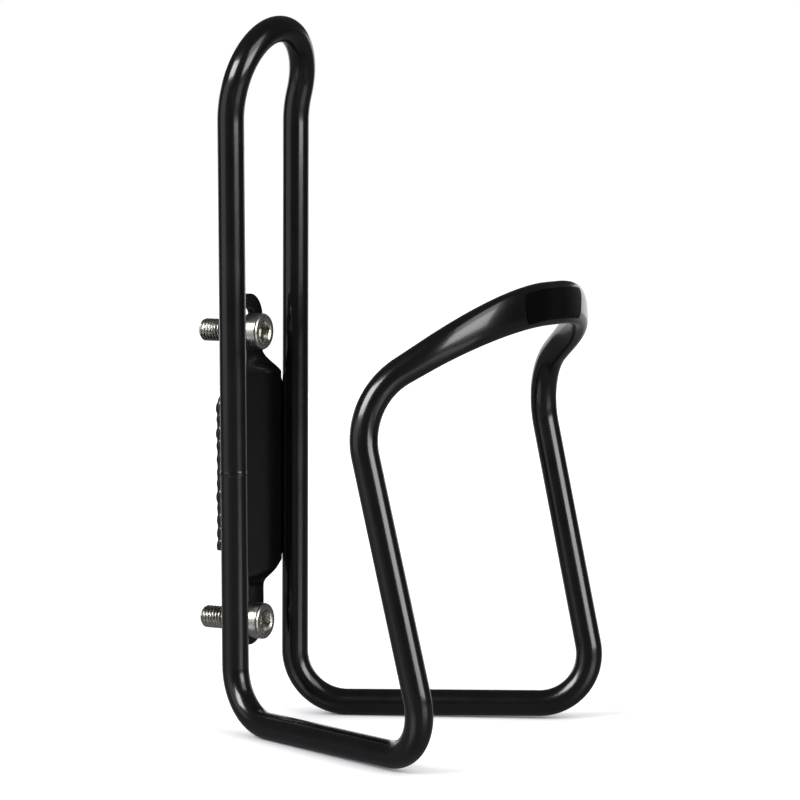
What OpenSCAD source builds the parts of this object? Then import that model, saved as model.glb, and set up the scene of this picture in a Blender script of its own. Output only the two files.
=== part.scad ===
// Bicycle water bottle cage: one round rod bent into a hoop, two rear legs, two floor bars,
// two arms and a flattened front band, welded to a stamped plate that two screws hold.
// Millimetres. X runs across, -Y towards the front band, +Y towards the bicycle, +Z up.
// The origin is on the plate's mounting face, midway between the two screws.

/* [Rod] */
// Diameter of the rod
rod_d = 5.85; // [5:0.05:6]
// Distance from the mounting face to the rear legs' centreline
leg_setback = 5.8; // [5.8:0.1:6.2]
// Distance from the middle to each rear leg, at the hoop
hoop_half = 13.7; // [13.6:0.1:14.5]
// Distance from the middle to each rear leg, at the foot
foot_half = 12.5; // [12.5:0.1:13.5]

/* [Heights] */
// Top of the hoop's centreline
hoop_z = 97.8; // [97:0.1:105]
// Where the rear legs begin to lean forward into the hoop
lean_z = 81; // [78:0.1:81]
// How far the hoop's top leans forward
hoop_lean = 4.4; // [3:0.1:5]
// Centreline of the floor bars at the rear
foot_z = -51.8; // [-56:0.1:-50]
// Rise of the floor bars from their rear bends to their front ones
foot_rise = 0.7; // [0:0.1:1.5]
// Corner where each arm turns into the front band
arm_top_z = 21.8; // [18:0.1:24]
// Centreline of the front band
band_z = 40.2; // [38:0.1:43]

/* [Bottle space] */
// Distance from the middle to each front corner of the foot
front_half = 39.3; // [39:0.1:41]
// Distance from the mounting face to the front corners of the foot
front_reach = 68.7; // [67:0.1:70]
// Distance from the middle to each arm's top corner
arm_half = 41.1; // [40.5:0.1:42]
// Distance from the mounting face to the arms' top corners
arm_reach = 51.8; // [50:0.1:53]
// Distance from the middle to the corners of the front band
band_half = 21.8; // [21.5:0.1:23]
// Distance from the mounting face to the front band's centreline
band_reach = 76.1; // [75:0.1:78]

/* [Bend radii] */
// Forward lean under the hoop
lean_r = 24; // [16:1:24]
// Rear foot corners
rear_foot_r = 11.7; // [9:0.1:14]
// Front foot corners
front_foot_r = 11.1; // [9:0.1:14]
// Arms into the front band
arm_top_r = 16.5; // [12:0.1:17]
// Front band round the bottle
band_r = 34.7; // [26:0.1:35]

/* [Front band] */
// Width of the flattened rod at the front
band_w = 9.1; // [7:0.1:9.5]
// Thickness of the flattened rod at the front
band_t = 3; // [2.4:0.1:3.4]
// Length of full flatness on each side of the middle
band_flat = 3; // [1:0.5:8]
// Distance from the middle at which the rod is still round
band_round = 49; // [40:1:52]

/* [Label] */
// Length of the blank label on the front band
label_len = 25; // [16:1:36]
// Thickness of the label
label_t = 0.25; // [0.2:0.05:0.4]

/* [Mounting plate] */
// Thickness of the sheet
plate_t = 2; // [1.5:0.1:2]
// Forward step from the two screw tabs to the middle of the plate
plate_step = 1.6; // [1.5:0.05:1.7]
// Half the width of the middle of the plate
web_half = 10.75; // [10:0.05:10.75]
// Half the width of the screw tabs
tab_half = 5.35; // [5:0.05:6]
// Distance between the two screws
screw_spacing = 64; // [64]
// Diameter of the lower hole and width of the upper slot
hole_d = 5.5; // [5.3:0.1:5.8]
// How far the slot lets the upper screw move up
slot_travel = 2.75; // [1:0.25:3]

/* [Welds] */
// Number of ripples in the left weld bead
left_ripples = 11; // [8:1:11]
// Number of ripples in the right weld bead, which runs on a little at each end
right_ripples = 13; // [8:1:13]
// Distance from one ripple to the next
ripple_pitch = 3.1; // [2.5:0.1:3.1]
// Radius of a ripple
ripple_r = 1.5; // [1.4:0.05:1.5]
// Width of the weld that closes the rod's two ends
butt_w = 1.4; // [1:0.1:2]
// Height of that weld above the rod's surface
butt_h = 0.15; // [0.1:0.05:0.3]
// Distance of that weld above the plate's middle
butt_z = 2; // [-5:0.5:5]

/* [Screws] */
// Thread diameter
screw_d = 5; // [5]
// Length under the head
screw_len = 12; // [10:1:16]
// Diameter of the plain neck under the head, which fills the plate's thickness
neck_d = 4.5; // [4:0.1:4.6]
// Diameter of the head
head_d = 8; // [7.5:0.1:8.5]
// Height of the head
head_h = 4; // [3:0.1:4]
// Hexagon socket across its flats
socket_af = 4; // [3:0.5:4]
// Depth of the socket
socket_depth = 2.4; // [1.5:0.1:2.5]

/* [Hidden] */

$fn = 64;
rod_r = rod_d / 2;
left = -1;
right = 1;

// Corners of the rod's centreline on the right-hand side, from the hoop round to the band
hoop_corner = [hoop_half, -leg_setback - hoop_lean, hoop_z];
lean_corner = [hoop_half, -leg_setback, lean_z];
rear_corner = [foot_half, -leg_setback, foot_z];
front_corner = [front_half, -front_reach, foot_z + foot_rise];
arm_corner = [arm_half, -arm_reach, arm_top_z];
band_corner = [band_half, -band_reach, band_z];

// Vector helpers
function unit(v) = v / norm(v);
function mirrored(p) = [-p.x, p.y, p.z];
function on_side(p, side) = side == right ? p : mirrored(p);

// Bend at corner b of the line a-b-c: the angle turned, and where the bend begins and ends
function turn(a, b, c) = acos(unit(b - a) * unit(c - b));
function bend_start(a, b, c, r) = b - unit(b - a) * r * tan(turn(a, b, c) / 2);
function bend_end(a, b, c, r) = b + unit(c - b) * r * tan(turn(a, b, c) / 2);
function bend_normal(a, b, c) = unit(cross(b - a, c - b));
function bend_radial(a, b, c) = cross(unit(b - a), bend_normal(a, b, c));
function bend_centre(a, b, c, r) = bend_start(a, b, c, r) - r * bend_radial(a, b, c);

// Where one piece of the rod hands over to the next
leg_top = bend_start(rear_corner, lean_corner, hoop_corner, lean_r);
leg_foot = bend_start(lean_corner, rear_corner, front_corner, rear_foot_r);
arm_foot = bend_end(rear_corner, front_corner, arm_corner, front_foot_r);
arm_top = bend_start(front_corner, arm_corner, band_corner, arm_top_r);

// The point of a rear leg at height z
function leg_point(z) = leg_foot + (leg_top - leg_foot) * (z - leg_foot.z) / (leg_top.z - leg_foot.z);

// Straight length of rod from a to b
module rod_straight(a, b) {
    u = unit(b - a);
    translate(a) rotate([0, acos(u.z), atan2(u.y, u.x)]) cylinder(d = rod_d, h = norm(b - a));
}

// Points along the bend at corner b, and points along a straight
arc_steps = 12;
function bend_points(a, b, c, r) = [
    for (i = [0:arc_steps])
        let (t = turn(a, b, c) * i / arc_steps)
        bend_centre(a, b, c, r) + r * (cos(t) * bend_radial(a, b, c) + sin(t) * unit(b - a))
];
function line_points(a, b, steps) = [for (i = [1:steps - 1]) a + (b - a) * i / steps];

// Direction at point i of a line whose ends run along the directions first and last
function along(line, i, first, last) = i == 0 ? unit(first)
    : i == len(line) - 1 ? unit(last)
    : unit(line[i + 1] - line[i - 1]);

// Solid through a list of rings, each a list of the same number of points
module loft(rings) {
    sides = len(rings[0]);
    last = len(rings) - 1;
    walls = [
        for (i = [0:last - 1]) for (k = [0:sides - 1])
            let (a = i * sides + k, b = i * sides + (k + 1) % sides)
            each [[a, a + sides, b], [b, a + sides, b + sides]]
    ];
    first_end = [for (k = [0:sides - 1]) k];
    last_end = [for (k = [sides - 1:-1:0]) last * sides + k];
    polyhedron(points = [for (ring = rings) each ring], faces = concat([first_end], walls, [last_end]));
}

// Round rod along a line of points; each ring's first point faces away from the bottle's axis
sides = 24;
bottle_axis_y = 38 - band_reach;
function outward(p, u) =
    let (v = [p.x, p.y - bottle_axis_y, 0])
    unit(v - u * (v * u));

module rod_along(line, first, last) {
    loft([
        for (i = [0:len(line) - 1])
            let (u = along(line, i, first, last), e = outward(line[i], u))
            [for (a = [0:360 / sides:359]) line[i] + rod_r * (e * cos(a) + cross(u, e) * sin(a))]
    ]);
}

// Half-round hoop at the top, with the two forward bends that lead into it
module rear_hoop() {
    side_line = concat(
        bend_points(rear_corner, lean_corner, hoop_corner, lean_r),
        bend_points(lean_corner, hoop_corner, mirrored(hoop_corner), hoop_half)
    );
    count = len(side_line);
    rise = lean_corner - rear_corner;
    line = concat(side_line, [for (i = [count - 2:-1:0]) mirrored(side_line[i])]);
    color("#26272a") rod_along(line, rise, mirrored(-rise));
}

// Rear leg: the left one is cut at the butt weld, where the rod's two ends meet
module left_leg_upper() {
    color("#26272a") rod_straight(mirrored(leg_point(butt_z + butt_w / 2)), mirrored(leg_top));
}

module left_leg_lower() {
    color("#26272a") rod_straight(mirrored(leg_foot), mirrored(leg_point(butt_z - butt_w / 2)));
}

module right_leg() {
    color("#26272a") rod_straight(leg_foot, leg_top);
}

// Weld that joins the rod's two ends, standing a little proud of the rod
module rod_butt_weld() {
    low = mirrored(leg_point(butt_z - butt_w / 2));
    u = unit(mirrored(leg_point(butt_z + butt_w / 2)) - low);
    crown_r = rod_r + butt_h;
    color("#26272a") translate(low) rotate([0, acos(u.z), atan2(u.y, u.x)]) rotate_extrude()
        polygon([
            [0, 0], [rod_r, 0], [crown_r, butt_w * 0.3],
            [crown_r, butt_w * 0.7], [rod_r, butt_w], [0, butt_w],
        ]);
}

// Floor bar that carries the bottle, with the bend at each of its ends
module floor_bar(side) {
    line = concat(
        bend_points(lean_corner, rear_corner, front_corner, rear_foot_r),
        bend_points(rear_corner, front_corner, arm_corner, front_foot_r)
    );
    first = on_side(rear_corner - lean_corner, side);
    last = on_side(arm_corner - front_corner, side);
    color("#26272a") rod_along([for (p = line) on_side(p, side)], first, last);
}

module left_floor_bar() {
    floor_bar(left);
}

module right_floor_bar() {
    floor_bar(right);
}

// Arm that rises from the floor bar to the front band
module left_arm() {
    color("#26272a") rod_straight(mirrored(arm_foot), mirrored(arm_top));
}

module right_arm() {
    color("#26272a") rod_straight(arm_foot, arm_top);
}

// Front band: the rod is pressed flat by degrees as it goes round the bottle
arm_rise = arm_corner - front_corner;
side_line = concat(
    bend_points(front_corner, arm_corner, band_corner, arm_top_r),
    line_points(
        bend_end(front_corner, arm_corner, band_corner, arm_top_r),
        bend_start(arm_corner, band_corner, mirrored(band_corner), band_r), 3
    ),
    bend_points(arm_corner, band_corner, mirrored(band_corner), band_r),
    line_points(
        bend_end(arm_corner, band_corner, mirrored(band_corner), band_r), [0, -band_reach, band_z], 2
    )
);
middle = len(side_line);
band_line = concat(
    side_line, [[0, -band_reach, band_z]], [for (i = [middle - 1:-1:0]) mirrored(side_line[i])]
);

// Distance along the band from its middle to ring i, by adding the steps up
function run(i) = i == middle ? 0
    : i < middle ? run(i + 1) + norm(band_line[i + 1] - band_line[i])
    : run(i - 1) + norm(band_line[i] - band_line[i - 1]);

// Flatness at ring i: 0 where the rod is round, 1 at the front
function ease(t) = t * t * (3 - 2 * t);
function flatness(i) = 1 - ease(max(0, min(1, (run(i) - band_flat) / (band_round - band_flat))));

// Point k of ring i: a circle that turns into a flat bar with round edges
function lobe(x, power) = sign(x) * pow(abs(x), power);
function section_point(i, k, lift = 0) =
    let (
        f = flatness(i),
        half_t = rod_r + (band_t / 2 - rod_r) * f,
        half_w = rod_r + (band_w / 2 - rod_r) * f,
        power = 2 / (2 + f),
        u = along(band_line, i, arm_rise, mirrored(-arm_rise)),
        e = outward(band_line[i], u),
        a = 360 * k / sides
    )
    band_line[i] + e * (half_t * lobe(cos(a), power) + lift) + cross(u, e) * half_w * lobe(sin(a), power);

module front_band() {
    color("#1f2023")
        loft([for (i = [0:len(band_line) - 1]) [for (k = [0:sides - 1]) section_point(i, k)]]);
}

// Blank label on the outer face of the band
label_rings = [for (i = [0:len(band_line) - 1]) if (run(i) <= label_len / 2) i];
label_sides = [for (k = [-3:3]) (k + sides) % sides];

module front_label() {
    rows = len(label_rings);
    cols = len(label_sides);
    inner = [for (i = label_rings) for (k = label_sides) section_point(i, k)];
    outer = [for (i = label_rings) for (k = label_sides) section_point(i, k, label_t)];
    top = rows * cols;
    inner_faces = [
        for (r = [0:rows - 2]) for (c = [0:cols - 2])
            let (a = r * cols + c, b = a + cols)
            each [[a, a + 1, b], [a + 1, b + 1, b]]
    ];
    outer_faces = [for (f = inner_faces) [f[2] + top, f[1] + top, f[0] + top]];
    rim = concat(
        [for (c = [0:cols - 1]) c],
        [for (r = [1:rows - 1]) r * cols + cols - 1],
        [for (c = [cols - 2:-1:0]) (rows - 1) * cols + c],
        [for (r = [rows - 2:-1:1]) r * cols]
    );
    rim_faces = [
        for (j = [0:len(rim) - 1])
            let (a = rim[j], b = rim[(j + 1) % len(rim)])
            each [[a, a + top, b], [b, a + top, b + top]]
    ];
    color("#141416")
        polyhedron(points = concat(inner, outer), faces = concat(inner_faces, outer_faces, rim_faces));
}

// Mounting plate: sheet pressed with a step, so that its two screw tabs stand behind the welds
tab_end_z = screw_spacing / 2 + slot_travel;
step_top = 26.5;
step_bottom = -25;
step_len = 4;
shoulder_top = 27.2;
shoulder_bottom = -23.5;
web_top = 22.6;
web_bottom = -19.6;

// Side outline of the stepped sheet, as [y, z]
module plate_side() {
    front = [
        [-plate_t, tab_end_z + tab_half + 1], [-plate_t, step_top],
        [-plate_t - plate_step, step_top - step_len], [-plate_t - plate_step, step_bottom + step_len],
        [-plate_t, step_bottom], [-plate_t, -screw_spacing / 2 - tab_half - 1],
    ];
    back = [for (i = [len(front) - 1:-1:0]) front[i] + [plate_t, 0]];
    polygon(concat(front, back));
}

// Outline of the plate seen from the front, as deep as the stepped sheet
tab_end_r = tab_half + 0.15;

module plate_outline() {
    depth = plate_t + plate_step + 2;
    translate([0, 1, 0]) rotate([90, 0, 0]) {
        for (z = [tab_end_z, -screw_spacing / 2]) translate([0, z, 0]) cylinder(r = tab_end_r, h = depth);
        linear_extrude(depth) polygon([
            [tab_half, tab_end_z], [tab_half, shoulder_top], [web_half, web_top],
            [web_half, web_bottom], [tab_half, shoulder_bottom], [tab_half, -screw_spacing / 2],
            [-tab_half, -screw_spacing / 2], [-tab_half, shoulder_bottom], [-web_half, web_bottom],
            [-web_half, web_top], [-tab_half, shoulder_top], [-tab_half, tab_end_z],
        ]);
    }
}

module hole(z) {
    translate([0, 1, z]) rotate([90, 0, 0]) cylinder(d = hole_d, h = plate_t + 2);
}

module mounting_plate() {
    slot_low = screw_spacing / 2;
    color("#26272a") difference() {
        intersection() {
            rotate([90, 0, 90]) linear_extrude(2 * web_half + 2, center = true) plate_side();
            plate_outline();
        }
        hole(-screw_spacing / 2);
        hole(slot_low);
        hole(slot_low + slot_travel);
        translate([-hole_d / 2, -plate_t - 1, slot_low]) cube([hole_d, plate_t + 2, slot_travel]);
    }
}

// Rippled weld bead in the groove between the plate's edge and a rear leg
bead_x = 11.4;
bead_y = -1.95;
left_bead_z = -13.7;
right_bead_z = -17;
bead_core = 0.75;

module weld_bead(side, first_z, ripples) {
    color("#26272a") translate([side * bead_x, bead_y, first_z]) {
        cylinder(r = ripple_r * bead_core, h = (ripples - 1) * ripple_pitch);
        for (i = [0:ripples - 1]) translate([0, 0, i * ripple_pitch]) sphere(r = ripple_r);
    }
}

module left_weld_bead() {
    weld_bead(left, left_bead_z, left_ripples);
}

module right_weld_bead() {
    weld_bead(right, right_bead_z, right_ripples);
}

// Socket head screw: its head bears on the front of a tab and its thread stands out behind
head_edge = 0.6;
tip_chamfer = 0.6;

module screw(z) {
    translate([0, -plate_t, z]) rotate([90, 0, 0]) difference() {
        union() {
            translate([0, 0, -plate_t]) cylinder(d = neck_d, h = plate_t + 1);
            translate([0, 0, -screw_len + tip_chamfer])
                cylinder(d = screw_d, h = screw_len - tip_chamfer - plate_t);
            translate([0, 0, -screw_len])
                cylinder(d1 = screw_d - 2 * tip_chamfer, d2 = screw_d, h = tip_chamfer);
            cylinder(d = head_d, h = head_h - head_edge);
            translate([0, 0, head_h - head_edge])
                cylinder(d1 = head_d, d2 = head_d - 2 * head_edge, h = head_edge);
        }
        translate([0, 0, head_h - socket_depth])
            cylinder(d = socket_af / cos(30), h = socket_depth + 1, $fn = 6);
    }
}

module upper_screw() {
    color("#b9bbbd") screw(screw_spacing / 2);
}

module lower_screw() {
    color("#b9bbbd") screw(-screw_spacing / 2);
}

rear_hoop();
left_leg_upper();
left_leg_lower();
right_leg();
left_floor_bar();
right_floor_bar();
left_arm();
right_arm();
front_band();
rod_butt_weld();
mounting_plate();
left_weld_bead();
right_weld_bead();
upper_screw();
lower_screw();
front_label();
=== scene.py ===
import math
import random

import bmesh
import bpy
import numpy as np
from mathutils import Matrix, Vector
from mathutils.geometry import intersect_line_plane


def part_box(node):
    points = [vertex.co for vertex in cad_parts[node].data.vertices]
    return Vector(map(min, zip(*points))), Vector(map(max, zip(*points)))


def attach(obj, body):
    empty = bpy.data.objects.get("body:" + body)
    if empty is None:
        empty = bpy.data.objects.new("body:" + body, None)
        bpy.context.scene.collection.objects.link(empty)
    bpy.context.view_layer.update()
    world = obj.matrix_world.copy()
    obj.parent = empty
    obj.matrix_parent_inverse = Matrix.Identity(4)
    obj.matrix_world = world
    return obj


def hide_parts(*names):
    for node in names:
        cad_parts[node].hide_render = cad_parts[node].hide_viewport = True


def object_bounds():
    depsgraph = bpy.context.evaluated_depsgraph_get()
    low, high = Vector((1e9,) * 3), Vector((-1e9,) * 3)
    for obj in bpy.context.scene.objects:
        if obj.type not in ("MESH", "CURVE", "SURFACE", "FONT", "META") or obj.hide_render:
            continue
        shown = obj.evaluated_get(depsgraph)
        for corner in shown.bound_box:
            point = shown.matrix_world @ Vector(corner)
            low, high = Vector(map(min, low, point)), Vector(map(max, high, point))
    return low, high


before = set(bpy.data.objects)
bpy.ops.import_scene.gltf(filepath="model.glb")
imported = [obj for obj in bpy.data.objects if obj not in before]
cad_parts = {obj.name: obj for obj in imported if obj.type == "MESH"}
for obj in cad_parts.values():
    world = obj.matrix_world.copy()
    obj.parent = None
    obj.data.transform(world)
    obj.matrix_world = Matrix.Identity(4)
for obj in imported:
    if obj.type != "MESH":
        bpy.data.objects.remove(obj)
cad_box = [list(corner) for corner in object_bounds()]


# ---------------------------------------------------------------- camera
# A long lens on a tripod, a little above the cage and off its left front, aimed at the middle
# of the space that the bottle fills.


def mm(*values):
    """Millimetres to metres: one number, or a point."""
    if len(values) == 1:
        return values[0] / 1000
    return Vector(values) / 1000


aim = mm(-0.5, -40.0, 18.4)
camera_distance = mm(716.3)
camera_azimuth = math.radians(-61.0)
camera_elevation = math.radians(4.9)
towards_camera = Vector(
    (
        math.sin(camera_azimuth) * math.cos(camera_elevation),
        -math.cos(camera_azimuth) * math.cos(camera_elevation),
        math.sin(camera_elevation),
    )
)

camera_data = bpy.data.cameras.new("camera")
camera_data.lens = 150.4
camera_data.sensor_width = 36
camera_data.clip_start = 0.05
camera = bpy.data.objects.new("camera", camera_data)
camera.location = aim + towards_camera * camera_distance
camera.rotation_euler = towards_camera.to_track_quat("Z", "Y").to_euler()
bpy.context.scene.collection.objects.link(camera)
bpy.context.scene.camera = camera


# ---------------------------------------------------------------- studio
# A white table in a dim white room, lit by softboxes: a broad one high on the left of the camera,
# and two on its right, one above the other, the lower one down almost at the table.


def linear(hex_colour):
    """An sRGB hex colour as linear red, green, blue and alpha."""
    channels = [int(hex_colour[i : i + 2], 16) / 255 for i in (1, 3, 5)]
    return [c / 12.92 if c <= 0.04045 else ((c + 0.055) / 1.055) ** 2.4 for c in channels] + [1.0]


def add_node(tree, kind, links=None, inputs=None, **settings):
    """One node: links and inputs by the socket's name or number, other settings by name."""
    node = tree.nodes.new(kind)
    for name, value in settings.items():
        setattr(node, name, value)
    for socket, value in (inputs or {}).items():
        node.inputs[socket].default_value = value
    for socket, source in (links or {}).items():
        tree.links.new(source, node.inputs[socket])
    return node


def new_material(name):
    """An empty node material: the material, its node tree and its output node."""
    material = bpy.data.materials.new(name)
    material.use_nodes = True
    material.node_tree.nodes.clear()
    return material, material.node_tree, add_node(material.node_tree, "ShaderNodeOutputMaterial")


def softbox(name, turn, height, distance, wide, tall, radiance):
    """A lit panel that faces the cage. turn is degrees to the right of the camera, and height is
    degrees above the table; wide and tall are the degrees that it fills, seen from the cage."""
    bearing, rise = camera_azimuth + math.radians(turn), math.radians(height)
    away = Vector(
        (math.sin(bearing) * math.cos(rise), -math.cos(bearing) * math.cos(rise), math.sin(rise))
    )
    data = bpy.data.lights.new(name, "AREA")
    data.shape = "RECTANGLE"
    data.size = 2 * distance * math.tan(math.radians(wide / 2))
    data.size_y = 2 * distance * math.tan(math.radians(tall / 2))
    data.energy = radiance * math.pi * data.size * data.size_y
    light = bpy.data.objects.new(name, data)
    light.location = aim + away * distance
    light.rotation_euler = away.to_track_quat("Z", "Y").to_euler()
    light.visible_camera = False
    bpy.context.scene.collection.objects.link(light)


softbox("left_softbox", -52, 31, 0.9, 36, 23, 11.5)
softbox("left_reflector", -72, 2, 0.7, 44, 26, 0.6)
softbox("right_softbox", 49, 14, 0.9, 36, 22, 6.6)
softbox("right_upper_softbox", 49, 36, 0.95, 36, 22, 2.8)
softbox("white_backdrop", 180, 0, 0.9, 84, 24, 1.2)

world = bpy.data.worlds.new("dim_white_room")
world.use_nodes = True
world.node_tree.nodes.clear()
bpy.context.scene.world = world
rays = add_node(world.node_tree, "ShaderNodeLightPath")
backdrop = add_node(world.node_tree, "ShaderNodeBackground", inputs={"Color": linear("#ffffff")})
room = add_node(
    world.node_tree, "ShaderNodeBackground", inputs={"Color": linear("#f4f6fa"), "Strength": 0.07}
)
either = add_node(
    world.node_tree,
    "ShaderNodeMixShader",
    {0: rays.outputs["Is Camera Ray"], 1: room.outputs[0], 2: backdrop.outputs[0]},
)
add_node(world.node_tree, "ShaderNodeOutputWorld", {"Surface": either.outputs[0]})
bpy.context.scene.view_settings.view_transform = "Standard"

table_mesh = bpy.data.meshes.new("table")
table_build = bmesh.new()
table_build.faces.new(
    [table_build.verts.new((x, y, cad_box[0][2])) for x, y in ((-9, -9), (9, -9), (9, 9), (-9, 9))]
)
table_build.to_mesh(table_mesh)
table = bpy.data.objects.new("table", table_mesh)
bpy.context.scene.collection.objects.link(table)

# White acrylic sheet, polished. The camera sees it burnt out to white, but for faint soft shadows:
# near the cage they are cast by the softboxes' light. Farther off the white is a painted glow that
# the table emits itself, with painted shade from an ambient occlusion node under the rod. In
# reflections it is a plain polished grey.
acrylic, tree, output = new_material("polished_white_acrylic_painted_glow_and_shade")
rays = add_node(tree, "ShaderNodeLightPath")
place = add_node(tree, "ShaderNodeTexCoord")
reach = add_node(tree, "ShaderNodeVectorMath", {0: place.outputs["Object"]}, operation="LENGTH")
# Painted glow: the table emits its own light to the camera, weakest near the cage and strongest from
# some 0.42 m off.
glow = add_node(
    tree,
    "ShaderNodeMapRange",
    {"Value": reach.outputs["Value"]},
    {"From Min": 0.11, "From Max": 0.42, "To Min": 0.72, "To Max": 1.1},
    interpolation_type="SMOOTHSTEP",
)
# Painted shade: an ambient occlusion node darkens the table's painted glow where the rod lies close
# above it, within some 45 mm.
painted_contact_shade = add_node(
    tree, "ShaderNodeAmbientOcclusion", inputs={"Color": linear("#ffffff"), "Distance": mm(45)}
)
painted_glow = add_node(
    tree,
    "ShaderNodeEmission",
    {"Color": painted_contact_shade.outputs["Color"], "Strength": glow.outputs[0]},
)
paper = add_node(tree, "ShaderNodeBsdfDiffuse", inputs={"Color": linear("#d8d8dc")})
white = add_node(tree, "ShaderNodeAddShader", {0: painted_glow.outputs[0], 1: paper.outputs[0]})
polish = add_node(
    tree,
    "ShaderNodeBsdfPrincipled",
    inputs={"Base Color": linear("#77777a"), "Roughness": 0.25, "IOR": 1.49},
)
either = add_node(
    tree,
    "ShaderNodeMixShader",
    {0: rays.outputs["Is Camera Ray"], 1: polish.outputs[0], 2: white.outputs[0]},
)
tree.links.new(either.outputs[0], output.inputs["Surface"])
table_mesh.materials.append(acrylic)


# ---------------------------------------------------------------- bent rod
# One length of aluminium rod just under 6 mm thick, bent cold into a hoop, two legs, two floor
# bars, two arms and the front band, which is pressed flat first. Its ends meet on the left leg.


def end_points(node):
    """The centres of the two ends of a straight length of rod, the lower one first."""
    corners = np.array([v.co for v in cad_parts[node].data.vertices])
    height = corners[:, 2]
    middle = (height.min() + height.max()) / 2
    return [Vector(corners[end].mean(0)) for end in (height < middle, height > middle)]


def unit(v):
    return v / np.linalg.norm(v)


def mirrored(p):
    return np.array((-p[0], p[1], p[2]))


leg_box, hoop_box, bar_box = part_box("right_leg"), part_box("rear_hoop"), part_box("right_floor_bar")
band_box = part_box("front_band")
cad_radius = (leg_box[1].y - leg_box[0].y) / 2
rod_radius = cad_radius - mm(0.01)
lean_drop = mm(16.8)
foot_rise = mm(0.7)
bend_lift = mm(0.12)
arm_corner_height = mm(21.8)
band_corner_half = mm(21.8)
band_width, band_thickness = mm(9.1), mm(3.0)
band_flat, band_round = mm(3.0), mm(49.0)
bend_radii = [mm(r) for r in (11.7, 11.1, 16.5, 34.7)]
lean_radius = mm(24.0)
bottle_radius = mm(38.0)
ring_step = mm(0.6)
rod_sides = 56

# The bars rise all the way from their rear corners, so their lowest point is past the bend and a
# little above the corner itself.
foot_height = bar_box[0].z + cad_radius - bend_lift
rear_floor = (Vector((0, 0, foot_height)), Vector((0, 0, 1)))
front_floor = (Vector((0, 0, foot_height + foot_rise)), Vector((0, 0, 1)))
leg_ends, arm_ends = end_points("right_leg"), end_points("right_arm")
hoop_half = hoop_box[1].x - cad_radius
hoop_corner = np.array((hoop_half, hoop_box[0].y + cad_radius, hoop_box[1].z - cad_radius))
lean_corner = np.array((hoop_half, leg_ends[1].y, hoop_corner[2] - lean_drop))
rear_corner = np.array(intersect_line_plane(*leg_ends, *rear_floor))
front_corner = np.array(intersect_line_plane(*arm_ends, *front_floor))
arm_line = (Vector((0, 0, arm_corner_height)), Vector((0, 0, 1)))
arm_corner = np.array(intersect_line_plane(*arm_ends, *arm_line))
band_corner = np.array(
    (band_corner_half, band_box[0].y + band_thickness / 2, band_box[1].z - band_width / 2)
)


def rounded(corners, radii):
    """A line through corner points, with each inner corner rounded, as points close together."""
    points = [corners[0]]
    for before, corner, after, radius in zip(corners, corners[1:], corners[2:], radii):
        u, v = unit(corner - before), unit(after - corner)
        angle = math.acos(np.clip(u @ v, -1, 1))
        normal = unit(np.cross(u, v))
        start = corner - u * radius * math.tan(angle / 2)
        radial = np.cross(u, normal)
        steps = max(8, round(radius * angle / ring_step))
        for i in range(steps + 1):
            t = angle * i / steps
            points.append(start + radius * ((math.cos(t) - 1) * radial + math.sin(t) * u))
    points.append(corners[-1])
    return np.array(points)


def evenly(points, step):
    """The same line with a point every step or so, close enough that its bends stay smooth."""
    gaps = np.linalg.norm(np.diff(points, axis=0), axis=1)
    points = points[np.append(True, gaps > 1e-9)]
    run = np.append(0, np.cumsum(np.linalg.norm(np.diff(points, axis=0), axis=1)))
    count = round(run[-1] / step)
    at = np.linspace(0, run[-1], count + 1)
    return np.stack([np.interp(at, run, points[:, k]) for k in range(3)], 1), at


right_half = [hoop_corner, lean_corner, rear_corner, front_corner, arm_corner, band_corner]
weld_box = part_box("rod_butt_weld")
weld_middle = np.array((weld_box[0] + weld_box[1]) / 2)
leg_slope = np.array(leg_ends[1] - leg_ends[0]) / (leg_ends[1].z - leg_ends[0].z)
weld_half = (weld_box[1].z - weld_box[0].z) / 2
leg_slope_left = mirrored(leg_slope)
# The rod's two ends stop a little way inside the weld, and the hoop is two quarter bends that
# almost meet at the top.
end_depth = 0.7
hoop_radius = hoop_half * 0.9995
cut_top = weld_middle + leg_slope_left * weld_half * end_depth
cut_bottom = weld_middle - leg_slope_left * weld_half * end_depth
half_radii = [lean_radius, *bend_radii]
route = rounded(
    [cut_top, *[mirrored(p) for p in right_half[1::-1]], *right_half]
    + [mirrored(p) for p in right_half[:1:-1]]
    + [cut_bottom],
    [lean_radius, hoop_radius, hoop_radius, *half_radii, *half_radii[:0:-1]],
)
rod_line, rod_run = evenly(route, ring_step)

# The band's middle is the rod's front-most point, or the one nearest the centre where several tie.
band_middle = rod_run[int(np.argmin(rod_line[:, 1] + np.abs(rod_line[:, 0]) * 0.001))]
bottle_axis = np.array((0, band_corner[1] + bottle_radius, 0))


def along(line):
    """Unit direction of a line at each of its points."""
    gradient = np.gradient(line, axis=0)
    return gradient / np.linalg.norm(gradient, axis=1)[:, None]


def outward(line, direction):
    """Unit direction away from the bottle's axis at each point, square to the line."""
    away = line - bottle_axis
    away[:, 2] = 0
    away -= direction * (away * direction).sum(1)[:, None]
    return away / np.linalg.norm(away, axis=1)[:, None]


def flatness(run):
    """0 where the rod is round, 1 where the band is fully pressed."""
    t = np.clip((np.abs(run - band_middle) - band_flat) / (band_round - band_flat), 0, 1)
    return 1 - t * t * (3 - 2 * t)


def lobe(x, power):
    """A cosine or sine squared off: power 1 gives a circle, and less a bar with round edges."""
    return np.sign(x) * np.abs(x) ** power


def steady_sides(line, direction):
    """A side direction that turns as little as possible along the line, starting outwards."""
    side = [outward(line[:1], direction[:1])[0]]
    for u in direction[1:]:
        side.append(unit(side[-1] - u * (side[-1] @ u)))
    return np.array(side)


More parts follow.
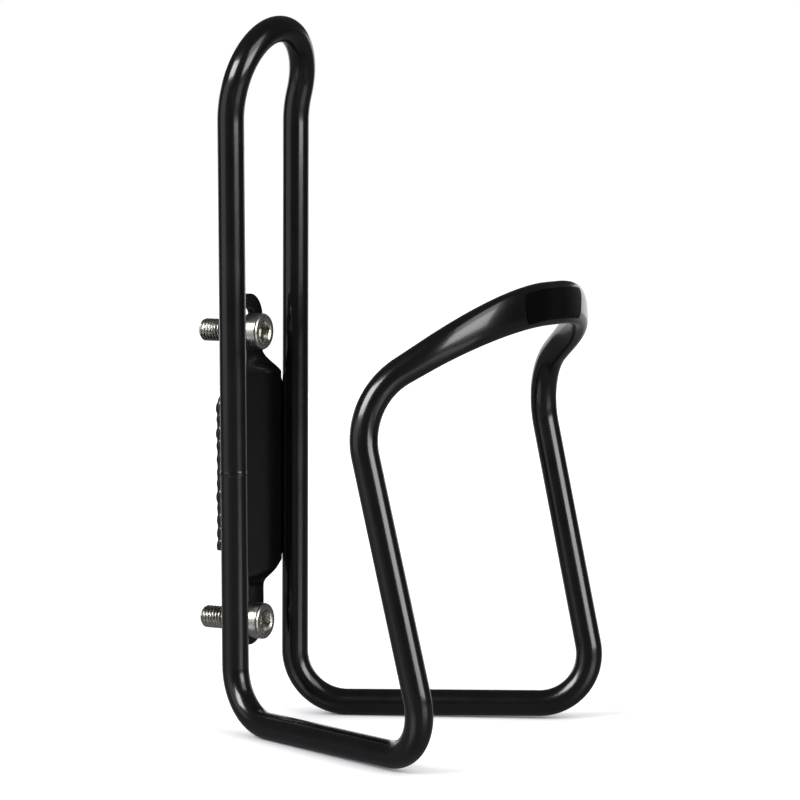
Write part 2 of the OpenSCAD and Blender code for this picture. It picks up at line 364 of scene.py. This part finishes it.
def loft(name, rings):
    """A smooth mesh object through rings of points, each with the same number of points."""
    count, sides = rings.shape[:2]
    build = bmesh.new()
    verts = [[build.verts.new(p) for p in ring] for ring in rings]
    for a, b in zip(verts, verts[1:]):
        for k in range(sides):
            n = (k + 1) % sides
            build.faces.new((a[k], a[n], b[n], b[k]))
    build.faces.new(verts[0][::-1])
    build.faces.new(verts[-1])
    bmesh.ops.recalc_face_normals(build, faces=build.faces)
    for face in build.faces:
        face.smooth = len(face.verts) == 4
    mesh = bpy.data.meshes.new(name)
    build.to_mesh(mesh)
    mesh.set_sharp_from_angle(angle=math.radians(70))
    piece = bpy.data.objects.new(name, mesh)
    bpy.context.scene.collection.objects.link(piece)
    return piece


rod_direction = along(rod_line)
rod_outward = outward(rod_line, rod_direction)
rod_flat = flatness(rod_run)
round_side = steady_sides(rod_line, rod_direction)
round_up = np.cross(rod_direction, round_side)
# In the band the section's flat side faces outwards; elsewhere the section is round, so the two
# frames are brought together by turning the steady one to meet the outward one at the front.
turned = np.unwrap(np.arctan2((rod_outward * round_up).sum(1), (rod_outward * round_side).sum(1)))
first_flat, last_flat = np.flatnonzero(rod_flat > 0)[[0, -1]]
swing = turned[np.clip(np.arange(len(turned)), first_flat, last_flat)]
section_out = np.cos(swing)[:, None] * round_side + np.sin(swing)[:, None] * round_up
section_up = np.cross(rod_direction, section_out)
angles = np.arange(rod_sides) * 2 * math.pi / rod_sides
half_thick = rod_radius + (band_thickness / 2 - rod_radius) * rod_flat
half_wide = rod_radius + (band_width / 2 - rod_radius) * rod_flat
power = (2 / (2 + rod_flat))[:, None]
rod_rings = (
    rod_line[:, None]
    + section_out[:, None] * (half_thick[:, None] * lobe(np.cos(angles), power))[..., None]
    + section_up[:, None] * (half_wide[:, None] * lobe(np.sin(angles), power))[..., None]
)
rod = loft("bent_rod", rod_rings)


def gloss_black(name, base, coat_roughness, peel_height):
    """Gloss black enamel, sprayed and baked: near black, with clear soft reflections that the faint
    orange peel of the spray makes a little uneven, and a thin haze of dust and handling marks."""
    material, tree, output = new_material(name)
    place = add_node(tree, "ShaderNodeTexCoord")
    # Orange peel of sprayed enamel is 1 to 2 mm across.
    peel = add_node(
        tree,
        "ShaderNodeTexNoise",
        {"Vector": place.outputs["Object"]},
        {"Scale": 700.0, "Detail": 2.0},
    )
    # Handling haze, in soft patches about 8 mm across.
    haze = add_node(
        tree,
        "ShaderNodeTexNoise",
        {"Vector": place.outputs["Object"]},
        {"Scale": 120.0, "Detail": 5.0},
    )
    # Specks of dust under the enamel, 0.1 to 0.2 mm across and some 0.7 mm apart.
    dust = add_node(
        tree, "ShaderNodeTexVoronoi", {"Vector": place.outputs["Object"]}, {"Scale": 1500.0}
    )
    specks = add_node(
        tree,
        "ShaderNodeMapRange",
        {"Value": dust.outputs["Distance"]},
        {"From Min": 0.02, "From Max": 0.12, "To Min": 1.0, "To Max": 0.0},
    )
    colour = add_node(
        tree,
        "ShaderNodeMix",
        {"Factor": haze.outputs["Fac"]},
        {6: linear(base), 7: linear("#0e0e10")},
        data_type="RGBA",
    )
    rough = add_node(
        tree,
        "ShaderNodeMapRange",
        {"Value": haze.outputs["Fac"]},
        {"From Min": 0.3, "From Max": 0.7, "To Min": 0.18, "To Max": 0.26},
    )
    height = add_node(
        tree,
        "ShaderNodeMath",
        {0: specks.outputs[0], 2: peel.outputs["Fac"]},
        {1: 0.25},
        operation="MULTIPLY_ADD",
    )
    bump = add_node(
        tree,
        "ShaderNodeBump",
        {"Height": height.outputs[0]},
        {"Strength": 0.25, "Distance": peel_height},
    )
    enamel = add_node(
        tree,
        "ShaderNodeBsdfPrincipled",
        {
            "Base Color": colour.outputs[2],
            "Roughness": rough.outputs[0],
            "Normal": bump.outputs[0],
        },
        {"IOR": 1.5, "Coat Weight": 0.35, "Coat Roughness": coat_roughness, "Coat IOR": 1.5},
    )
    tree.links.new(enamel.outputs[0], output.inputs["Surface"])
    return material


rod_enamel = gloss_black("gloss_black_baked_enamel", "#09090a", 0.08, mm(0.02))
rod.data.materials.append(rod_enamel)
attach(rod, "cage")
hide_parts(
    "rear_hoop", "left_leg_upper", "left_leg_lower", "right_leg", "left_floor_bar",
    "right_floor_bar", "left_arm", "right_arm", "front_band",
)


# ---------------------------------------------------------------- butt weld
# The aluminium weld that closes the rod's two ends, dressed down with a file so that only a low
# uneven ring stands above the rod, and enamelled with it.


def noise_wave(seed, count, sharpness):
    """A repeating random curve, as a function of an angle: a few waves with random phases."""
    draw = random.Random(seed)
    waves = [
        (k, draw.uniform(0, 2 * math.pi), draw.uniform(0.5, 1) / k**sharpness)
        for k in range(1, count)
    ]
    return lambda angle: sum(size * np.sin(k * angle + phase) for k, phase, size in waves)


weld_crown = (weld_box[1].y - weld_box[0].y) / 2 - cad_radius
weld_rows = 25
across_weld = np.linspace(-1, 1, weld_rows)
uneven = noise_wave(7, 7, 0.6)
weld_direction = unit(leg_slope_left)
weld_side = unit(np.array((-1.0, 0, 0)) - weld_direction * -weld_direction[0])
weld_front = np.cross(weld_direction, weld_side)
weld_rings = []
for row in across_weld:
    crown = weld_crown * (1 - row * row) ** 2 * (0.3 + 0.35 * uneven(angles + row * 0.5))
    radius = rod_radius - mm(0.02) * abs(row) ** 8 + np.maximum(crown, mm(0.01) * (1 - row * row))
    centre = weld_middle + weld_direction * row * weld_half
    weld_rings.append(
        centre
        + weld_side * (radius * np.cos(angles))[:, None]
        + weld_front * (radius * np.sin(angles))[:, None]
    )
butt_weld = loft("rod_butt_weld_ring", np.array(weld_rings))
butt_weld.data.materials.append(
    gloss_black("gloss_black_enamel_on_filed_weld", "#0a0a0b", 0.10, mm(0.03))
)
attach(butt_weld, "cage")
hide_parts("rod_butt_weld")


# ---------------------------------------------------------------- mounting plate
# A 2 mm aluminium pressing: blanked to its outline with a hole and a slot, stepped so that the two
# screw tabs stand behind the welds, its edges a little rolled by the press, and enamelled with the
# rod.


def arc(centre, radius, first, last, steps):
    """Points along an arc in the plate's plane, as [x, z]; angles in degrees."""
    return [
        (
            centre[0] + radius * math.cos(math.radians(first + (last - first) * i / steps)),
            centre[1] + radius * math.sin(math.radians(first + (last - first) * i / steps)),
        )
        for i in range(steps + 1)
    ]


def smooth_corner(before, corner, after, radius):
    """Points along an arc that rounds a corner of an outline."""
    flat = [np.array((p[0], p[1], 0.0)) for p in (before, corner, after)]
    return [(p[0], p[1]) for p in rounded(flat, [radius])[1:-1]]


plate_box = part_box("mounting_plate")
lower_screw_box, upper_screw_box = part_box("lower_screw"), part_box("upper_screw")
lower_z = (lower_screw_box[0].z + lower_screw_box[1].z) / 2
upper_z = (upper_screw_box[0].z + upper_screw_box[1].z) / 2
sheet_thickness = mm(2.0)
step_depth = (plate_box[1].y - plate_box[0].y) - sheet_thickness
web_half = plate_box[1].x
tab_radius = lower_z - plate_box[0].z
slot_travel = plate_box[1].z - tab_radius - upper_z
hole_radius = mm(2.75)
shoulders = (mm(27.2), mm(22.6), mm(-19.6), mm(-23.5))
# Each step lies between two heights, the first on the web's side and the second on the tab's.
step_spans = ((mm(22.5), mm(26.5)), (mm(-21.0), mm(-25.0)))
step_cuts = 12
cut_overrun = 0.15
corner_radius = mm(0.9)

right_edge = [
    (tab_radius, shoulders[0]),
    (web_half, shoulders[1]),
    (web_half, shoulders[2]),
    (tab_radius, shoulders[3]),
]
half_outline = []
chain = [(tab_radius, plate_box[1].z), *right_edge, (tab_radius, plate_box[0].z)]
for before, corner, after in zip(chain, chain[1:], chain[2:]):
    half_outline += smooth_corner(before, corner, after, corner_radius)
outline = (
    half_outline
    + arc((0, lower_z), tab_radius, 0, -180, 32)
    + [(-x, z) for x, z in half_outline[::-1]]
    + arc((0, upper_z + slot_travel), tab_radius, 180, 0, 32)
)
round_hole = arc((0, lower_z), hole_radius, 0, 352.5, 47)
slot_hole = arc((0, upper_z), hole_radius, 180, 360, 24) + arc(
    (0, upper_z + slot_travel), hole_radius, 0, 180, 24
)

plate_build = bmesh.new()
for loop in (outline, round_hole, slot_hole):
    corners = [plate_build.verts.new((x, 0, z)) for x, z in loop]
    for a, b in zip(corners, corners[1:] + corners[:1]):
        plate_build.edges.new((a, b))
bmesh.ops.triangle_fill(plate_build, use_beauty=True, use_dissolve=False, edges=plate_build.edges[:])
for low, high in step_spans:
    for i in range(step_cuts + 1):
        cut = low + (high - low) * (i / step_cuts * (1 + 2 * cut_overrun) - cut_overrun)
        bmesh.ops.bisect_plane(
            plate_build,
            geom=plate_build.verts[:] + plate_build.edges[:] + plate_build.faces[:],
            plane_co=(0, 0, cut),
            plane_no=(0, 0, 1),
        )
sheet = bmesh.ops.extrude_face_region(plate_build, geom=plate_build.faces[:])
front_side = {v for v in sheet["geom"] if isinstance(v, bmesh.types.BMVert)}
for v in plate_build.verts:
    inside = min(
        1,
        max(0, (step_spans[0][1] - v.co.z) / (step_spans[0][1] - step_spans[0][0])),
        max(0, (v.co.z - step_spans[1][1]) / (step_spans[1][0] - step_spans[1][1])),
    )
    inside = inside * inside * (3 - 2 * inside)
    v.co.y = -step_depth * inside - (sheet_thickness if v in front_side else 0)
bmesh.ops.recalc_face_normals(plate_build, faces=plate_build.faces)
plate_mesh = bpy.data.meshes.new("mounting_plate_pressing")
plate_build.to_mesh(plate_mesh)
plate_mesh.polygons.foreach_set("use_smooth", [True] * len(plate_mesh.polygons))
plate = bpy.data.objects.new("mounting_plate_pressing", plate_mesh)
bpy.context.scene.collection.objects.link(plate)
rolled_edge = plate.modifiers.new("rolled_edge", "BEVEL")
rolled_edge.width = mm(0.3)
rolled_edge.segments = 3
rolled_edge.limit_method = "ANGLE"
rolled_edge.angle_limit = math.radians(50)
plate.modifiers.new("even_shading", "WEIGHTED_NORMAL").keep_sharp = True
plate_mesh.materials.append(
    gloss_black("gloss_black_enamel_on_pressing", "#0a0a0b", 0.10, mm(0.03))
)
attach(plate, "cage")
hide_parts("mounting_plate")


# ---------------------------------------------------------------- weld beads
# The two aluminium beads that hold the plate to the rear legs: laid by hand in a row of overlapping
# puddles, so no two ripples are alike, and enamelled with the rest.


ripple_pitch = mm(3.1)
dome_length = 1.35
weld_enamel = gloss_black("gloss_black_enamel_on_weld_bead", "#0a0a0b", 0.12, mm(0.05))


def weld_bead(name, node, seed, core):
    """A rippled bead along the groove between the plate's edge and a leg. core is how thin it gets
    between two ripples, as a share of its full radius."""
    low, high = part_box(node)
    draw = random.Random(seed)
    centre_x, centre_y = (low.x + high.x) / 2, (low.y + high.y) / 2
    full = (high.x - low.x) / 2
    sides = 40
    turns = np.arange(sides) * 2 * math.pi / sides
    puddles = []
    z = low.z + full * 0.7
    while z < high.z - full * 0.5:
        size = full * draw.uniform(0.86, 1.0)
        puddles.append((z, size, draw.uniform(-0.08, 0.08), draw.uniform(-0.06, 0.1)))
        z += ripple_pitch * draw.uniform(0.75, 1.1)
    # each puddle is a low dome with a bow-shaped front
    bow = full * 0.35 * np.cos(turns + math.pi / 2) ** 2 - full * 0.17
    levels = np.arange(low.z, high.z + mm(0.05), mm(0.12))
    rings = []
    for level in levels:
        radius = np.full(sides, full * 0.02)
        shift = np.zeros(2)
        for at, size, shift_x, shift_y in puddles:
            gap = (level - at + bow) / (full * dome_length)
            dome = size * 0.97 * np.sqrt(np.clip(1 - gap**2, 0, 1))
            better = dome > radius
            radius = np.where(better, dome, radius)
            weight = math.exp(-((level - at) / full) ** 2)
            shift += weight * np.array((shift_x, shift_y)) * full * 0.5
        # the ripples overlap, so the bead never thins to less than its core between them
        from_middle = abs(2 * level - low.z - high.z) / (high.z - low.z)
        radius = np.maximum(radius, full * core * math.sqrt(max(0, 1 - from_middle**16)))
        rings.append(
            np.stack(
                [
                    centre_x + shift[0] + radius * np.cos(turns),
                    centre_y + shift[1] + radius * np.sin(turns),
                    np.full(sides, level),
                ],
                1,
            )
        )
    bead = loft(name, np.array(rings))
    smoothing = bead.modifiers.new("flow", "SMOOTH")
    smoothing.factor = 0.5
    smoothing.iterations = 2
    bead.data.materials.append(weld_enamel)
    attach(bead, "cage")
    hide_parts(node)


weld_bead("left_weld_ripples", "left_weld_bead", 11, 0.78)
weld_bead("right_weld_ripples", "right_weld_bead", 23, 0.93)


# ---------------------------------------------------------------- socket head screws
# Two M5 x 12 socket head screws: stainless wire, cold headed with a hexagon socket, the thread
# rolled at 0.8 mm pitch, then tumbled bright. They pass through the plate's hole and slot.

thread_pitch = mm(0.8)
thread_depth = mm(0.36)
head_radius = (upper_screw_box[1].z - upper_screw_box[0].z) / 2
head_height = mm(4.0)
neck_radius = mm(2.22)
shank_length = upper_screw_box[1].y + sheet_thickness
thread_radius = mm(2.5)
socket_apothem = mm(2.0)
socket_depth = mm(2.4)
tip_chamfer = mm(0.6)
under_round, top_round = mm(0.25), mm(0.75)
screw_sides = 96


def screw_rings():
    """The screw's rings from its tip to the socket's floor, with y from the head's underside."""
    turns = np.arange(screw_sides) * 2 * math.pi / screw_sides
    hexagon = socket_apothem / np.cos((turns % (math.pi / 3)) - math.pi / 6)
    rings = []

    def ring(radius, y):
        radius = np.broadcast_to(radius, turns.shape)
        rings.append(
            np.stack([radius * np.cos(turns), np.full_like(turns, y), radius * np.sin(turns)], 1)
        )

    for y in np.arange(shank_length, sheet_thickness - mm(0.3), -mm(0.06)):
        phase = (y / thread_pitch + turns / (2 * math.pi)) % 1
        groove = np.clip(1 - np.abs(phase - 0.5) * 2 / 0.86, 0, 1)
        from_tip = shank_length - y
        fade = np.clip((y - sheet_thickness + mm(0.3)) / mm(0.9), 0, 1)
        radius = thread_radius - thread_depth * groove * fade
        ring(np.minimum(radius, thread_radius - tip_chamfer + from_tip), y)
    ring(neck_radius, sheet_thickness - mm(0.4))
    ring(neck_radius, mm(0.25))
    ring(neck_radius + mm(0.08), mm(0.08))
    ring(neck_radius + mm(0.3), 0)
    ring(head_radius - mm(0.3), 0)
    for t in np.radians(np.linspace(-90, 0, 6)):
        ring(head_radius - under_round * (1 - math.cos(t)), -under_round * (1 + math.sin(t)))
    for y in np.linspace(0.5, 3.2, 8):
        ring(head_radius, -mm(y))
    for t in np.radians(np.linspace(0, 90, 9)):
        ring(
            head_radius - top_round * (1 - math.cos(t)),
            -head_height + top_round * (1 - math.sin(t)),
        )
    rim = socket_apothem / math.cos(math.pi / 6) + mm(0.25)
    ring(rim + mm(0.06), -head_height)
    ring(rim, -head_height + mm(0.04))
    for blend, y in ((0.5, 0.16), (0.85, 0.28), (1.0, 0.36)):
        ring(rim * (1 - blend) + hexagon * blend, -head_height + mm(y))
    for y in np.linspace(0.4, 2.2, 6):
        ring(hexagon, -head_height + mm(y))
    ring(hexagon * 0.97, -head_height + mm(2.32))
    ring(hexagon * 0.6, -head_height + socket_depth)
    ring(hexagon * 0.05, -head_height + socket_depth + mm(0.5))
    return np.array(rings)


def bright_stainless(name):
    """Stainless steel, cold headed and tumbled: a bright warm grey metal whose reflections are a
    little soft, with fine scratches in every direction, and a darker grey in the hollows of the
    thread and socket."""
    material, tree, output = new_material(name)
    place = add_node(tree, "ShaderNodeTexCoord")
    # Tumbling leaves random fine scratches about 0.1 mm apart.
    scratches = add_node(
        tree,
        "ShaderNodeTexNoise",
        {"Vector": place.outputs["Object"]},
        {"Scale": 9000.0, "Detail": 3.0},
    )
    # Patches about 2 mm across are a little duller, where the parts rubbed in the tumbler.
    blotches = add_node(
        tree,
        "ShaderNodeTexNoise",
        {"Vector": place.outputs["Object"]},
        {"Scale": 500.0, "Detail": 4.0},
    )
    # Darker grey where the surface is hollow, in the thread's grooves and the socket.
    shape = add_node(tree, "ShaderNodeNewGeometry")
    hollows = add_node(
        tree,
        "ShaderNodeMapRange",
        {"Value": shape.outputs["Pointiness"]},
        {"From Min": 0.42, "From Max": 0.52, "To Min": 1.0, "To Max": 0.0},
    )
    metal = add_node(
        tree,
        "ShaderNodeMix",
        {"Factor": blotches.outputs["Fac"]},
        {6: linear("#e2e0d8"), 7: linear("#cfccc3")},
        data_type="RGBA",
    )
    darker_in_hollows = add_node(
        tree,
        "ShaderNodeMix",
        {"Factor": hollows.outputs[0], 6: metal.outputs[2]},
        {7: linear("#98958c")},
        data_type="RGBA",
    )
    rough = add_node(
        tree,
        "ShaderNodeMapRange",
        {"Value": blotches.outputs["Fac"]},
        {"From Min": 0.3, "From Max": 0.7, "To Min": 0.2, "To Max": 0.32},
    )
    bump = add_node(
        tree,
        "ShaderNodeBump",
        {"Height": scratches.outputs["Fac"]},
        {"Strength": 0.3, "Distance": mm(0.01)},
    )
    steel = add_node(
        tree,
        "ShaderNodeBsdfPrincipled",
        {
            "Base Color": darker_in_hollows.outputs[2],
            "Roughness": rough.outputs[0],
            "Normal": bump.outputs[0],
        },
        {"Metallic": 1.0},
    )
    tree.links.new(steel.outputs[0], output.inputs["Surface"])
    return material


stainless = bright_stainless("tumbled_stainless_steel")
for name, node, height, spin in (
    ("upper_socket_screw", "upper_screw", upper_z, 12),
    ("lower_socket_screw", "lower_screw", lower_z, 41),
):
    turn = math.radians(spin)
    rings = screw_rings()
    x, z = rings[..., 0].copy(), rings[..., 2].copy()
    rings[..., 0] = x * math.cos(turn) - z * math.sin(turn)
    rings[..., 2] = x * math.sin(turn) + z * math.cos(turn) + height
    rings[..., 1] -= sheet_thickness
    screw = loft(name, rings)
    screw.data.set_sharp_from_angle(angle=math.radians(50))
    screw.data.materials.append(stainless)
    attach(screw, node)
    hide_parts(node)


# ---------------------------------------------------------------- front label
# A blank strip of satin black film with rounded corners, stuck to the front of the band and rolled
# down to its curve.

label_film = mm(0.1)
label_half_length = mm(12.4)
label_half_height = mm(3.3)
label_corner = mm(1.2)
rolled_down = 0.6
sunk = mm(0.02)
label_runs = np.linspace(-1, 1, 81)
label_steps = np.linspace(-1, 1, 25)


def band_point(run, height, lift):
    """A point on the band's outer face, by its distance along the band from the middle, its height
    above the centreline and its lift off the face."""
    i = np.interp(band_middle + run, rod_run, np.arange(len(rod_run)))
    k, f = int(i), i - int(i)
    k = min(k, len(rod_line) - 2)

    def between(values):
        return values[k] * (1 - f) + values[k + 1] * f

    thick, wide, exponent = between(half_thick), between(half_wide), 2 + between(rod_flat)
    bulge = thick * (1 - min(1, abs(height / wide)) ** exponent) ** (1 / exponent)
    upright = 1 if between(section_up)[2] > 0 else -1
    outwards, upwards = between(section_out), between(section_up) * upright
    return between(rod_line) + outwards * (bulge + lift) + upwards * height


def label_edge(run):
    """Half the label's height at a distance along it, less near its rounded corners."""
    into_corner = max(0, abs(run) - (label_half_length - label_corner))
    return label_half_height - label_corner + math.sqrt(max(0, label_corner**2 - into_corner**2))


label_build = bmesh.new()
rows = []
for run in label_runs * label_half_length:
    heights = [step * label_edge(run) for step in label_steps]
    lifts = [label_film * (1 if abs(step) < 0.99 else rolled_down) for step in label_steps]
    top = [label_build.verts.new(band_point(run, h, lift)) for h, lift in zip(heights, lifts)]
    bottom = [label_build.verts.new(band_point(run, h, -sunk)) for h in heights]
    rows.append(top + bottom[::-1])
for a, b in zip(rows, rows[1:]):
    for k in range(len(a)):
        n = (k + 1) % len(a)
        label_build.faces.new((a[k], a[n], b[n], b[k]))
for row in (rows[0], rows[-1]):
    half = len(row) // 2
    for k in range(half - 1):
        label_build.faces.new((row[k], row[k + 1], row[-2 - k], row[-1 - k]))
bmesh.ops.recalc_face_normals(label_build, faces=label_build.faces)
for face in label_build.faces:
    face.smooth = True
label_mesh = bpy.data.meshes.new("front_label_film")
label_build.to_mesh(label_mesh)
label = bpy.data.objects.new("front_label_film", label_mesh)
bpy.context.scene.collection.objects.link(label)
label_mesh.set_sharp_from_angle(angle=math.radians(40))

film, tree, output = new_material("satin_black_vinyl_film")
# Calendered vinyl film: a deeper black than the enamel, whose satin face has a fine even grain of
# about 0.25 mm and shows hardly any highlight.
place = add_node(tree, "ShaderNodeTexCoord")
grain = add_node(
    tree,
    "ShaderNodeTexNoise",
    {"Vector": place.outputs["Object"]},
    {"Scale": 4000.0, "Detail": 2.0},
)
# Its black is uneven by a trace, in patches about 2.5 mm across.
mottle = add_node(
    tree,
    "ShaderNodeTexNoise",
    {"Vector": place.outputs["Object"]},
    {"Scale": 400.0, "Detail": 3.0},
)
ink = add_node(
    tree,
    "ShaderNodeMix",
    {"Factor": mottle.outputs["Fac"]},
    {6: linear("#030303"), 7: linear("#070708")},
    data_type="RGBA",
)
bump = add_node(
    tree,
    "ShaderNodeBump",
    {"Height": grain.outputs["Fac"]},
    {"Strength": 0.3, "Distance": mm(0.01)},
)
vinyl = add_node(
    tree,
    "ShaderNodeBsdfPrincipled",
    {"Base Color": ink.outputs[2], "Normal": bump.outputs[0]},
    {"Roughness": 0.5, "IOR": 1.3, "Specular IOR Level": 0.12},
)
tree.links.new(vinyl.outputs[0], output.inputs["Surface"])
label_mesh.materials.append(film)
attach(label, "cage")
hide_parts("front_label")
